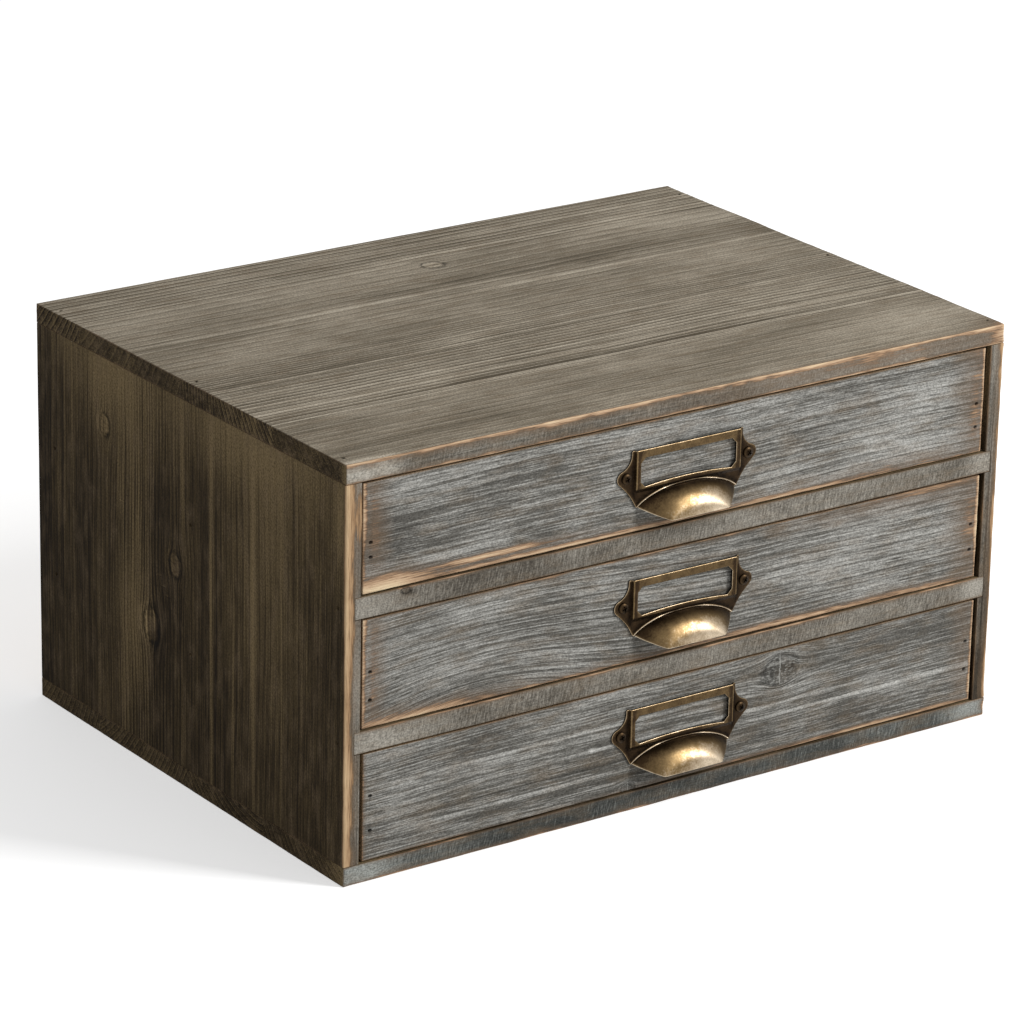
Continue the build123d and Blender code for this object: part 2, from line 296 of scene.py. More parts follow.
def add(tree, kind, inputs={}, stops=(), **settings):
    """Adds a node with its settings. An input is a value, a hex colour, or what feeds it."""
    made = tree.nodes.new("ShaderNode" + kind)
    for key, value in settings.items():
        setattr(made, key, value)
    for key, value in inputs.items():
        if isinstance(value, bpy.types.Node):
            value = value.outputs[0]
        if isinstance(value, bpy.types.NodeSocket):
            tree.links.new(value, made.inputs[key])
        else:
            made.inputs[key].default_value = linear(value) if isinstance(value, str) else value
    for number, (place, colour) in enumerate(stops):
        ramp = made.color_ramp.elements
        stop = ramp[number] if number < len(ramp) else ramp.new(place)
        stop.position = place
        stop.color = linear(colour) if isinstance(colour, str) else (colour, colour, colour, 1)
    return made


def new_material(name):
    """Material with an empty node tree."""
    material = bpy.data.materials.new(name)
    material.use_nodes = True
    material.node_tree.nodes.clear()
    return material, material.node_tree


def pattern(tree, place, length, width, detail=3.0, rough=0.55, slant=0.0):
    """Noise with spots so long along the grain and so wide across it, in millimetres."""
    settings = {"Vector": place, "Rotation": (0, slant, 0), "Scale": (length, width, width)}
    place = add(tree, "Mapping", settings, vector_type="TEXTURE")
    return add(tree, "TexNoise", {"Vector": place, "Scale": 1.0, "Detail": detail, "Roughness": rough})


def weighed(tree, start, *terms):
    """Sum of fields, each with its own weight, which may be a field too."""
    for source, weight in terms:
        start = add(tree, "Math", {0: source, 1: weight, 2: start}, operation="MULTIPLY_ADD")
    return start


def balanced(tree, middle, *terms):
    """Sum of noises about a middle value."""
    return weighed(tree, middle - 0.5 * sum(weight for _, weight in terms), *terms)


def coated(tree, colour, *coats):
    """Colour with coats laid over it, each given by how far it covers, its colour and how it mixes."""
    for cover, over, way in coats:
        colour = add(tree, "MixRGB", {"Fac": cover, "Color1": colour, "Color2": over}, blend_type=way)
    return colour


def finished(material, colour, rough, bump, settings):
    """Material whose shader takes a colour, a roughness, a bump if it has one, and its own settings."""
    inputs = {"Base Color": colour, "Roughness": rough, **settings}
    if bump is not None:
        inputs["Normal"] = bump
    shader = add(material.node_tree, "BsdfPrincipled", inputs)
    add(material.node_tree, "OutputMaterial", {"Surface": shader})
    return material


def rubbed_back(tree, wear, fibre, patch, stroke, pores, bare):
    """Coats of a rubbed arris: the wash thins to brown, then comes a reddish line, then bare pale wood."""
    edge = balanced(tree, 0.5, (fibre, 0.6), (patch, 0.25), (stroke, 0.3))
    edge = weighed(tree, edge, (wear, 0.25))
    thinned = add(tree, "ValToRGB", {"Fac": edge}, [(0.02, 0.0), (0.45, 0.5)])
    wood = add(tree, "ValToRGB", {"Fac": edge}, list(zip((0.46, 0.55, 0.7, 0.98), bare)))
    wood = coated(tree, wood, (0.7, pores, "MULTIPLY"))
    bared = add(tree, "ValToRGB", {"Fac": edge}, [(0.42, 0.0), (0.56, 1.0)])
    return (thinned, "#6b5845", "MIX"), (bared, wood, "MIX")


def knot_marks(tree, beside, ragged, lump, fibre, knot, checks):
    """Coats of a knot: its eye with a thin broken rim, the pale crescent beside it, and its checks."""
    reach = []
    for aside in (0.0, 0.45):
        point = add(tree, "VectorMath", {0: beside, 1: (0, -aside, 0)}, operation="ADD")
        length = add(tree, "VectorMath", {0: point}, operation="LENGTH").outputs["Value"]
        reach.append(weighed(tree, 0.0, (weighed(tree, length, (ragged, 1.0)), 0.4)))
    core, rim, crescent = knot
    eye = add(tree, "ValToRGB", {"Fac": reach[0]}, [(0.0, core), (0.3, core), (0.44, rim), (0.56, 1.0)])
    eye_cover = add(tree, "ValToRGB", {"Fac": lump}, [(0.36, 0.6), (0.54, 1.0)])
    halo = add(tree, "ValToRGB", {"Fac": reach[1]}, [(0.4, crescent), (0.58, 1.0)])
    dashes = add(tree, "ValToRGB", {"Fac": pattern(tree, beside, 0.3, 0.07, 2)}, [(0.54, 0.0), (0.66, 0.7)])
    across = add(tree, "SeparateXYZ", {"Vector": beside}).outputs["X"]
    split = add(tree, "Math", {0: weighed(tree, -0.15, (across, 1.0), (fibre, 0.3))}, operation="ABSOLUTE")
    split = add(tree, "ValToRGB", {"Fac": split}, [(0.0, 0.9), (0.06, 0.0)])
    split = add(tree, "Math", {0: dashes, 1: split}, operation="MAXIMUM")
    inside_eye = add(tree, "ValToRGB", {"Fac": reach[0]}, [(0.36, checks), (0.48, 0.0)])
    split = weighed(tree, 0.0, (split, inside_eye))
    return (eye_cover, eye, "MULTIPLY"), (0.9, halo, "MULTIPLY"), (split, "#b5b4ae", "MIX")


def stained_pine(name, finishes, brushing=0.6, clouded=0.4, combed=1.0, sawn=0.0, porous=0.8,
                 nail_dark=0.85, knot=(0.95, 0.5, 1.3), checks=0.0,
                 bare=("#655040", "#8f735a", "#b89b7e", "#ddc9a6")):
    """Stained and dry-brushed pine, dull to the eye, with its fibres showing. finishes gives the dark,
    middle and pale tone of the stain, first for every face and then for the faces that an attribute
    picks out. Fibres are 0.4 mm wide, the wood's tooth 0.6 mm, brush strokes 0.65 mm, stain streaks
    2.6 mm and clouds 22 mm, and a saw mark comes every 0.65 mm. knot is how bright a knot's core, rim
    and crescent are, and bare goes from the line where the wash ends to the palest bare wood."""
    material, tree = new_material(name)
    keys = ("grain", "from_knot", "ring", "contrast", "wear", "tone", "pit", "front", *finishes)
    read = {key: add(tree, "Attribute", attribute_name=key) for key in dict.fromkeys(keys)}
    fac = {key: node.outputs["Fac"] for key, node in read.items()}
    place, beside = (read[key].outputs["Vector"] for key in ("grain", "from_knot"))
    fibre, stroke = pattern(tree, place, 8, 0.4, 3, 0.6), pattern(tree, place, 28, 0.65, 2)
    hair, streak = pattern(tree, place, 70, 0.6, 1), pattern(tree, place, 110, 2.6)
    cloud, patch = pattern(tree, place, 50, 22, 3, 0.5), pattern(tree, place, 15, 6, 3)
    tooth, lump = pattern(tree, place, 0.9, 0.6, 2), pattern(tree, place, 3, 1.3, 3)
    saw = pattern(tree, place, 0.65, 5, 1, slant=0.2)

    # Growth rings, pale brush strokes and, on sawn edges, the marks of the blade
    share = add(tree, "Math", {0: weighed(tree, fac["ring"], (streak, 0.25))}, operation="FRACT")
    ring_stops = [(0.0, 0.0), (0.12, 0.1), (0.3, 0.5), (0.65, 0.5), (0.88, 1.0), (1.0, 0.0)]
    profile = weighed(tree, -0.5, (add(tree, "ValToRGB", {"Fac": share}, ring_stops), 1.0))
    lines = weighed(tree, 0.0, (profile, fac["contrast"]))
    marked = weighed(tree, 0.0, (fac["front"], sawn))
    strokes = balanced(tree, 0.75, (fibre, 0.6 - 0.2 * combed), (stroke, 0.45 - 0.2 * combed),
                       (hair, 0.3 + 0.2 * combed))
    marks = balanced(tree, 0.72, (saw, 0.55), (fibre, 0.1))
    strokes = coated(tree, weighed(tree, strokes, (lines, 0.3)), (marked, marks, "MIX"))
    strokes = weighed(tree, strokes, (balanced(tree, 0.0, (cloud, 0.3)), 1.0), (fac["tone"], 0.5))
    brush_stops = [(0.71 - 0.03 * combed, 0.0), (0.85 + 0.1 * combed, 1.0)]
    brushed = add(tree, "ValToRGB", {"Fac": strokes}, brush_stops)
    drawn = balanced(tree, 0.0, (streak, 0.6 * combed), (hair, 0.28), (stroke, 0.3 - 0.3 * combed),
                     (fibre, 0.35 - 0.35 * combed))
    drawn = weighed(tree, 0.0, (drawn, weighed(tree, 0.3, (fac["contrast"], 0.85))))
    marks = balanced(tree, 0.5, (saw, 0.24), (patch, 0.15))
    depth = coated(tree, weighed(tree, 0.5, (drawn, 1.0), (lines, 0.7)), (marked, marks, "MIX"))
    depth = weighed(tree, depth, (balanced(tree, 0.0, (cloud, clouded)), 1.0), (fac["tone"], 1.0))

    # Stain: the ground, the dry-brushed pale tone over it, warm patches, dark pores and the tooth
    colour, cover = None, weighed(tree, 0.0, (brushed, brushing))
    for key, (dark, middle, pale) in finishes.items():
        ground = add(tree, "ValToRGB", {"Fac": depth}, [(0.25, dark), (0.5, middle), (0.95, pale)])
        ground = coated(tree, ground, (cover, pale, "MIX"))
        colour = ground if colour is None else coated(tree, colour, (fac[key], ground, "MIX"))
    warm = weighed(tree, 0.0, (patch, 0.6), (streak, 0.4))
    warm = add(tree, "ValToRGB", {"Fac": warm}, [(0.48, 0.0), (0.66, 0.4)])
    pores = add(tree, "ValToRGB", {"Fac": fibre}, [(0.3, 0.6), (0.46, 1.0)])
    speckle = add(tree, "ValToRGB", {"Fac": tooth}, [(0.3, 0.6), (0.7, 1.4)])
    ragged = balanced(tree, 0.0, (patch, 0.5), (stroke, 0.5), (lump, 1.1))
    knot_coats = knot_marks(tree, beside, ragged, lump, fibre, knot, checks)
    colour = coated(
        tree, colour, (warm, "#6a5b48", "MIX"), (weighed(tree, porous, (marked, -0.7)), pores, "MULTIPLY"),
        (1.0, speckle, "MULTIPLY"), *rubbed_back(tree, fac["wear"], fibre, patch, stroke, pores, bare),
        *knot_coats, (1.0, weighed(tree, 1.0, (fac["pit"], -nail_dark)), "MULTIPLY"))
    eye = knot_coats[0][1]
    height = weighed(tree, 0.0, (fibre, 0.5), (brushed, 0.4), (eye, 0.5))
    bump = add(tree, "Bump", {"Strength": 0.6, "Distance": 0.12 * mm, "Height": height})
    rough = add(tree, "MapRange", {"Value": brushed, "To Min": 0.7, "To Max": 0.85})
    return finished(material, colour, rough, bump, {"IOR": 1.5, "Specular IOR Level": 0.04})


brown_stain = ("#1a130b", "#30271a", "#746449")
sooty_wash = ("#30312f", "#4b4c49", "#939590")
chest_bottom = stained_pine("stained_pine_bottom", {"grain": brown_stain, "front": sooty_wash}, sawn=0.9)
case_brads = ["top_board_nails", "bottom_board_nails", "divider_nails", "back_panel_nails"]
rubbed_front = {
    "front under": (0.9, 0.5, 1.2, 1.0), "front top": (0.4, -0.2, 0.8, 0.6),
    "left front": (0.6, -0.4, 0.8, 0.8), "right front": (1.6, 0.5, 1.6, 1.6),
}
board("bottom_board", "case", "stained_case_wood", chest_bottom, grain=0, wide=1, pitch=(4, 1.6, 1.5),
      strips=[(-60, -150, 60, 2.8, 0.0, 0.4), (0, -60, 55, 2.6, -0.03, 0.6),
              (70, 110, 60, 2.6, 0.02, 0.5), (121, 160, 40, 3, 0, 0.4)],
      tones=[(-158, -120, 14, 9, 0.35), (-50, -120, 40, 9, -0.16), (80, -120, 40, 9, -0.1),
             (158, -120, 12, 9, 0.3)],
      worn=rubbed_front, brads=case_brads, seed=3)


# Side panels: narrow pine staves edge-glued into upright panels, housed out for the dividers and
# nailed between the two boards. Dark brown stain outside, bare pine where the front arris is rubbed.

dividers = ("lower_divider", "upper_divider")
brown_wash = ("#332f29", "#5a554d", "#a09b91")
chest_side = stained_pine("stained_pine_side", {"grain": brown_stain, "front": brown_wash}, brushing=0.45,
                          clouded=0.25, porous=0.4, nail_dark=0.25, knot=(0.95, 0.2, 1.8),
                          bare=("#5f4a34", "#8c6f52", "#ad8f6e", "#c6ab87"))
staves = [(-92, -160, 60, 2.6, -0.06, 0.2), (-74, -20, 60, 2.8, -0.04, 0.3), (-52, -130, 55, 3.2, 0.04, 0.2),
          (-20, -90, 50, 3.0, -0.02, 0.3), (3, 70, 45, 2.4, -0.09, 0.25), (24, -50, 40, 2.2, -0.1, 0.5),
          (38, 120, 20, 1.9, -0.02, 0.9), (52, 100, 12, 2.6, 0.09, 0.7), (75, 0, 50, 3.0, 0.0, 0.3),
          (91, 170, 60, 3.1, -0.09, 0.3), (121, 60, 70, 2.6, -0.03, 0.3)]
# Tone patches of the side panels: paler towards the top, darker along the back edge, with smaller patches and
# thin pale and dark lines along the grain.
side_tone_patches = [(180, 0, 30, 300, 0.24), (150, 80, 30, 50, 0.06), (90, 120, 200, 14, -0.2), (110, -60, 60, 60, 0.08),
         (40, -90, 60, 40, -0.05), (168, 58, 14, 16, 0.16), (166, -45, 16, 30, 0.14), (68, 42, 24, 13, 0.22),
         (60, 22, 9, 3, -0.25), (15, 5, 22, 6, 0.16), (90, -52, 90, 1.4, 0.4), (90, -20, 90, 0.9, 0.45),
         (140, 2, 30, 1.1, 0.3), (90, -74, 90, 0.9, 0.2), (50, -37, 50, 0.9, 0.25), (90, 90, 90, 1.0, 0.15),
         (120, 37, 50, 1.2, 0.3), (115, 42, 60, 0.9, 0.25), (155, -116, 16, 3, 0.3), (115, 31, 60, 0.9, 0.2),
         (120, 53, 50, 1.0, 0.2), (45, -30, 40, 8, -0.1), (90, -24, 60, 1.5, -0.15), (60, 74, 90, 1.2, -0.15),
         (90, 26, 90, 2.5, -0.12)]
side_looks = {
    "left_side": dict(
        knots=[(142, 64, 3.8), (97, 8, 4.4), (64, 27, 6.2)], seed=12,
        worn={"left front": (0.9, 1.7, 0.5, 2.0)},
        tones=[*side_tone_patches, (90, -120, -161, 24, 4, 3, 0.25)], rubs=[(157, -120, -161, 9, 3, 3, 0.9)]),
    "right_side": dict(
        knots=[(60, 30, 6.0), (120, -50, 4.0)], seed=10,
        worn={"right front": (1.5, 0.9, 1.6, 2.0), "left front": (0.4, -0.2, 0.6, 0.6)},
        tones=[*side_tone_patches, (12, -120, 163, 18, 4, 6, -0.3), (60, -120, 163, 40, 4, 6, -0.1)]),
}
housing_gap = 0.05
for name, look in side_looks.items():
    (x_low, y_low, _), (x_high, _, _) = corners(name)
    housings = []
    for divider in dividers:
        shelf_low, shelf_high = corners(divider)
        low, high = shelf_low - housing_gap, shelf_high + housing_gap
        across = (low[0], x_high) if name == "left_side" else (x_low, high[0])
        housings.append((across, (y_low, shelf_high[1]), (low[2], high[2])))
    board(name, "case", "stained_case_wood", chest_side, grain=2, wide=1, pitch=(1.5, 0.9, 3.5),
          strips=staves, notches=housings, brads=case_brads, **look)


# Dividers: two shelves let three millimetres into the side panels, nailed through them. Their
# sawn front edges keep the fine upright marks of the blade under the grey wash.

chest_divider = stained_pine("stained_pine_divider", {"grain": brown_stain, "front": brown_wash}, sawn=0.9,
                             knot=(0.75, 0.2, 1.1))
divider_looks = {
    "upper_divider": dict(
        tones=[(-158, -120, 8, 9, 0.15), (158, -120, 8, 9, 0.2), (40, -120, 70, 9, 0.1),
               (-137, -120, 121, 3.5, 4, 1.6, -0.25), (-95, -120, 25, 9, -0.08),
               (-60, -120, 15, 9, 0.06), (130, -120, 25, 9, 0.1)],
        knots=[(-139, -119.5, 1.6, 122.2)],
        worn={"front top": (0.5, 0.1, 0.6, 0.6), "front under": (0.5, 0.0, 0.5, 0.6)}),
    "lower_divider": dict(
        tones=[(-150, -120, 25, 9, 0.12), (158, -120, 8, 9, 0.3), (0, -120, 130, 9, 0.08)],
        worn={"front top": (0.5, 0.3, 0.8, 0.6), "front under": (0.5, -0.2, 0.5, 0.6)}),
}
for number, divider in enumerate(dividers):
    board(divider, "case", "stained_case_wood", chest_divider, grain=0, wide=1, pitch=(2.5, 4, 0.9),
          strips=[(-40, -90, 60, 2.6, 0.0, 0.3), (40, 10, -60, 2.4, 0.02, 0.3), (120, 80, 60, 2.6, 0.0, 0.3)],
          brads=case_brads, seed=21 + number, **divider_looks[divider])


# Top board: laid over the side panels and nailed down through its ends. Its face is a paler taupe,
# partly a paler stain and partly painted light that makes the lit top lighter than the sides,
# brushed along the grain, and both arrises of its front edge are rubbed through to bare pine.

taupe_stain_and_lit_top = ("#51493c", "#7a7162", "#b9af9e")
# Upward faces take the paler taupe: a paler stain, plus painted light for the top being lit more than the
# sides.
chest_top = stained_pine("stained_pine_top", {"grain": brown_stain, "front": brown_wash, "up": taupe_stain_and_lit_top},
                         clouded=0.3, sawn=0.6, knot=(1.4, 0.3, 1.0))
board("top_board", "case", "stained_case_wood", chest_top, grain=0, wide=1, pitch=(3.5, 0.7, 1.2),
      strips=[(-67, -150, 60, 3.2, 0.0, 0.25), (-24, -125, 55, 2.7, 0.0, 0.9), (3, -100, 12, 2.2, -0.02, 0.8),
              (84, 130, 60, 4.4, 0.0, 0.3), (121, 175, 60, 3.0, 0.0, 0.8)],
      knots=[(6.7, 76.4, 4.0)],
      tones=[(-80, 44.5, 90, 1.2, 0.25), (90, 35.5, 90, 1.2, 0.25), (90, 50, 40, 10, -0.1),
             (165, 40, 12, 14, -0.1), (145, 68, 25, 14, 0.1), (140, -95, 32, 18, 0.14),
             (-110, -103, 60, 1.5, -0.15), (-130, -12, 70, 14, -0.12), (0, 53, 60, 8, -0.1),
             (0, 105, 400, 1, 0.2), (60, 90, 120, 1.4, 0.2), (0, -10, 90, 1, 0.2),
             (0, -20, 400, 0.8, 0.2), (0, -44, 400, 0.8, 0.2), (0, -53, 400, 1, 0.22),
             (0, -61, 400, 1, -0.2), (0, -65, 400, 0.9, 0.2), (-157, -120, 11, 3, 0.9),
             (100, -120, 176, 80, 4, 9, 0.08), (115, 78, 45, 14, 0.08), (95, -105, 50, 16, 0.06),
             (-155, -105, 22, 16, -0.06), (0, -95, 220, 25, -0.04)],
      rubs=[(167, -120, 176, 7, 7, 5, 0.9), (60, -120, 170, 120, 1.5, 1.4, 0.5),
            (100, -120, 177, 75, 2.5, 4, 0.15)],
      worn={"front top": (0.8, 1.0, 1.5, 0.4), "front under": (0.5, 0.7, 1.0, 0.5),
            "right front": (1.6, 1.5, 2.4, 2.0), "right top": (0.9, 0.3, 0.8, 0.6),
            "left top": (0.4, -0.6, 0.5, 0.4), "left front": (0.3, -1.2, 0.5, 0.5)},
      brads=case_brads, seed=31)


# Back panel: three millimetres of plywood, let in between the side panels, the top and the bottom,
# and nailed from behind to the dividers' edges. It is left bare.

def bare_wood(name, pale, middle, line, ply=0.0):
    """Planed, unfinished softwood, or plywood with its dark glue lines so many millimetres apart. Late-wood
    lines cross a pale ground with fibres 0.4 mm wide and clouds of 14 mm."""
    material, tree = new_material(name)
    read = {key: add(tree, "Attribute", attribute_name=key) for key in ("grain", "ring", "pit")}
    place = read["grain"].outputs["Vector"]
    ring, pit = (read[key].outputs["Fac"] for key in ("ring", "pit"))
    fine, cloud = pattern(tree, place, 18, 0.4, 2, 0.5), pattern(tree, place, 60, 14, 3, 0.5)
    share = add(tree, "Math", {0: weighed(tree, ring, (cloud, 0.5))}, operation="FRACT")
    late = add(tree, "ValToRGB", {"Fac": share}, [(0.0, 0.0), (0.6, 0.15), (0.88, 1.0), (1.0, 0.0)])
    tone = weighed(tree, -0.1, (cloud, 0.7), (fine, 0.5))
    coats = [(weighed(tree, 0.0, (late, 0.55)), line, "MIX")]
    if ply:
        depth = add(tree, "SeparateXYZ", {"Vector": place}).outputs["Z"]
        veneer = add(tree, "Math", {0: weighed(tree, 0.0, (depth, 1 / ply))}, operation="FRACT")
        glue = add(tree, "Math", {0: veneer, 1: 0.9}, operation="GREATER_THAN")
        coats.append((weighed(tree, 0.0, (glue, 0.5)), "#5a3d26", "MIX"))
    coats.append((1.0, weighed(tree, 1.0, (pit, -0.7)), "MULTIPLY"))
    colour = coated(tree, add(tree, "ValToRGB", {"Fac": tone}, [(0.25, middle), (0.7, pale)]), *coats)
    bump = add(tree, "Bump", {"Strength": 0.4, "Distance": 0.08 * mm, "Height": fine})
    rough = add(tree, "MapRange", {"Value": late, "To Min": 0.66, "To Max": 0.5})
    return finished(material, colour, rough, bump, {"IOR": 1.5})


birch_ply = bare_wood("birch_plywood", "#d9bd95", "#c5a27a", "#b08a60", ply=1.0)
board("back_panel", "case", "plywood", birch_ply, grain=0, wide=2, pitch=(8, 1.0, 8),
      strips=[(200, 60, -70, 7.0, 0.0, 0.6)], brads=["back_panel_nails"], eased=0.15, relief=0.02, seed=71)


# Drawer boxes: thin planed pine sides and back, left bare, with a plywood bottom nailed up under them.
# The sides butt against the front, which is nailed into their ends.

planed_pine = bare_wood("planed_pine", "#dfc59c", "#cbaa7d", "#a9784a")
bays = ("top", "middle", "bottom")
pine_box = dict(slot="plain_softwood", material=planed_pine, eased=0.4, relief=0.03)
for number, bay in enumerate(bays):
    body = f"{bay}_drawer"
    box_brads = [f"{body}_front_nails", f"{body}_back_nails", f"{body}_bottom_nails"]
    for name in ("left_side", "right_side"):
        board(f"{body}_{name}", body, grain=1, wide=2, pitch=(2.0, 8, 2.0), **pine_box,
              strips=[(200, 15 + 60 * number, -14, 3.1, 0.0, 1.0)], brads=box_brads, seed=41 + number)
    board(f"{body}_back", body, grain=0, wide=2, pitch=(8, 2.0, 2.0), **pine_box,
          strips=[(200, 30 + 60 * number, 18, 2.7, 0.0, 1.0)], brads=box_brads, seed=51 + number)
    board(f"{body}_bottom", body, "plywood", birch_ply, grain=0, wide=1, pitch=(8, 8, 1.0), brads=box_brads,
          strips=[(200, -40 + 30 * number, -60, 6.5, 0.0, 0.6)], eased=0.15, relief=0.02, seed=61 + number)


# Drawer fronts: sawn pine boards under a grey wash, wire-brushed along the grain, nailed to the box
# through their ends. The arrises are rubbed back to the bare wood, most of all along the lower edges.

raw_edge, grey_wash = ("#6b5a45", "#93795b", "#ab906d"), ("#3d3b37", "#5b5954", "#b3b2ad")
washed_front = stained_pine("washed_pine_front", {"grain": raw_edge, "front": grey_wash}, brushing=0.52,
                            clouded=0.25, combed=0.15, porous=0.4, knot=(0.48, 0.36, 1.1), checks=0.7)


def arrises(left, top, under, right):
    """Wear of a front's four arrises."""
    return {"left front": left, "front top": top, "front under": under, "right front": right}


front_looks = {
    "top": dict(
        strips=[(200, 215, 60, 3.4, 0.0, 0.2)],
        tones=[(-130, 163, 30, 8, 0.1), (-142, 146, 14, 10, -0.12), (90, 140, 60, 9, 0.05),
               (115, 131, 45, 9, 0.1), (-10, 165, 90, 7, 0.05), (125, 155, 26, 9, 0.14),
               (-118, 133, 20, 2, 0.2)],
        rubs=[(-151, 124.3, 14, 2.8, 2.0), (-98, 128.4, 20, 0.7, 1.6), (-60, 124.6, 70, 1.0, 1.2),
              (60, 124.6, 60, 1.4, 0.8), (-153, 150, 5, 40, 0.0), (154, 147, 8, 60, 0.0),
              (110, 125, 60, 4, 0.0)],
        worn=arrises((0.6, 1.0, 0.8, 1.4), (0.5, -0.4, 0.6, 0.5), (0.7, 0.7, 1.0, 0.6),
                     (0.6, 1.2, 0.8, 1.1))),
    "middle": dict(
        strips=[(200, 190, -60, 3.2, 0.0, 0.25)], bends=[(-100, 22, 36)],
        tones=[(-108, 105, 22, 8, 0.07), (-110, 92, 60, 30, 0.04), (-130, 72, 30, 5, -0.12),
               (110, 76, 50, 9, 0.05), (90, 95, 60, 20, 0.08), (120, 82, 30, 6, -0.05)],
        rubs=[(-132, 66.5, 28, 2.2, 1.3), (70, 67.5, 70, 1.4, 0.9), (130, 113, 50, 5, 0.3),
              (154, 95, 9, 40, 0.0), (-153, 90, 4, 60, 0.0)],
        worn=arrises((0.6, 1.0, 0.8, 1.4), (0.5, 0.2, 0.7, 0.5), (0.7, 0.7, 1.2, 0.6),
                     (0.6, 1.2, 0.8, 1.1))),
    "bottom": dict(
        strips=[(200, -60, -60, 3.2, 0.0, 0.08)], knots=[(52.9, 45.7, 6.6), (-25.6, 9.7, 2.6)],
        tones=[(105, 30, 60, 25, -0.05), (0, 37, 200, 0.9, 0.12), (95, 26, 65, 0.7, 0.4),
               (-60, 23.5, 100, 0.8, -0.15), (-43.3, 31.2, 1.5, 0.9, 0.6), (0, 16, 200, 1, -0.1),
               (-110, 48, 40, 8, -0.07), (110, 16, 50, 8, -0.04), (0, 31, 80, 0.7, 0.3),
               (-75, 19, 60, 0.7, 0.25), (-40, 40, 90, 0.7, 0.25)],
        rubs=[(110, 9.5, 70, 0.8, 1.0), (154, 32, 6, 60, -0.4)],
        worn=arrises((0.5, 0.6, 0.6, 1.0), (0.4, -0.3, 0.6, 0.5), (0.5, 0.1, 0.7, 0.6),
                     (0.6, 1.0, 0.8, 1.0))),
}
for number, bay in enumerate(bays):
    body = f"{bay}_drawer"
    board(f"{body}_front", body, "stained_drawer_front", washed_front, grain=0, wide=2, pitch=(2.5, 2.0, 0.7),
          brads=[f"{body}_front_nails"], relief=0.1, seed=81 + number, **front_looks[bay])


# Pulls: a label frame and finger cup stamped from one sheet of brass, blackened in the hollows and
# rubbed bright on the high places, with painted highlights laid into the colour of its edges, bead
# and cup and painted shade on the cup's upper part. The frame is open at its top, where the card slides in.

sheet, plate_top, plate_half, frame_half, window_half = 0.8, 11.4, 28.3, 26.8, 24.3
frame_rise, frame_foot, frame_ramp = 1.1, -7.2, 2.0
window_top, window_sill, sill_arch, window_corner = 7.9, -4.6, 1.2, 2.2
ear_middle, ear_radius, ear_hollow = 32.2, 3.3, 7.0
cup_axis, cup_rise, cup_base, cup_reach, cup_front_half, cup_sheet = 27.99, 11.9, -18.5, 10.87, 15.2, 0.9
cup_root, lip_fall, bead_width, bead_rise = -13.3, 4.7, 0.6, 0.3
cup_end, cup_pull, cup_lean = np.array([25.8, cup_root]), 5.0, radians(60)
ear_end, ear_pull = -49, 7.0
edge_round, edge_reach, wall_run, bead_spread = 0.22, 0.35, 0.56, 0.28
least_gap, least_out, rim_step = 0.06, 0.03, 0.15


def arc_points(centre, radii, start, end, count):
    """Points of an elliptical arc, from one angle to another in degrees."""
    angles = np.radians(np.linspace(start, end, count))
    return np.stack([centre[0] + radii[0] * np.cos(angles), centre[1] + radii[1] * np.sin(angles)], axis=-1)


def evenly(points, pitch):
    """Closed line with points at an even pitch."""
    points = np.concatenate([points, points[:1]])
    way = np.concatenate([[0], np.cumsum(np.linalg.norm(np.diff(points, axis=0), axis=1))])
    places = np.linspace(0, way[-1], int(way[-1] / pitch), endpoint=False)
    return np.stack([np.interp(places, way, points[:, a]) for a in (0, 1)], axis=-1)


def inside(points, loop):
    """Which points lie inside a closed line."""
    x, z = points[:, :1], points[:, 1:]
    first, second = loop, np.roll(loop, -1, axis=0)
    over = (first[:, 1] > z) != (second[:, 1] > z)
    rise = np.where(second[:, 1] == first[:, 1], 1e-12, second[:, 1] - first[:, 1])
    crossing = first[:, 0] + (z - first[:, 1]) * (second[:, 0] - first[:, 0]) / rise
    return (over & (x < crossing)).sum(axis=1) % 2 == 1


def from_line(points, loop):
    """Distance of each point from a closed line."""
    first, along = loop, np.roll(loop, -1, axis=0) - loop
    share = ((points[:, None] - first) * along).sum(axis=2) / np.maximum((along ** 2).sum(axis=1), 1e-12)
    foot = first + np.clip(share, 0, 1)[..., None] * along
    return np.linalg.norm(points[:, None] - foot, axis=2).min(axis=1)


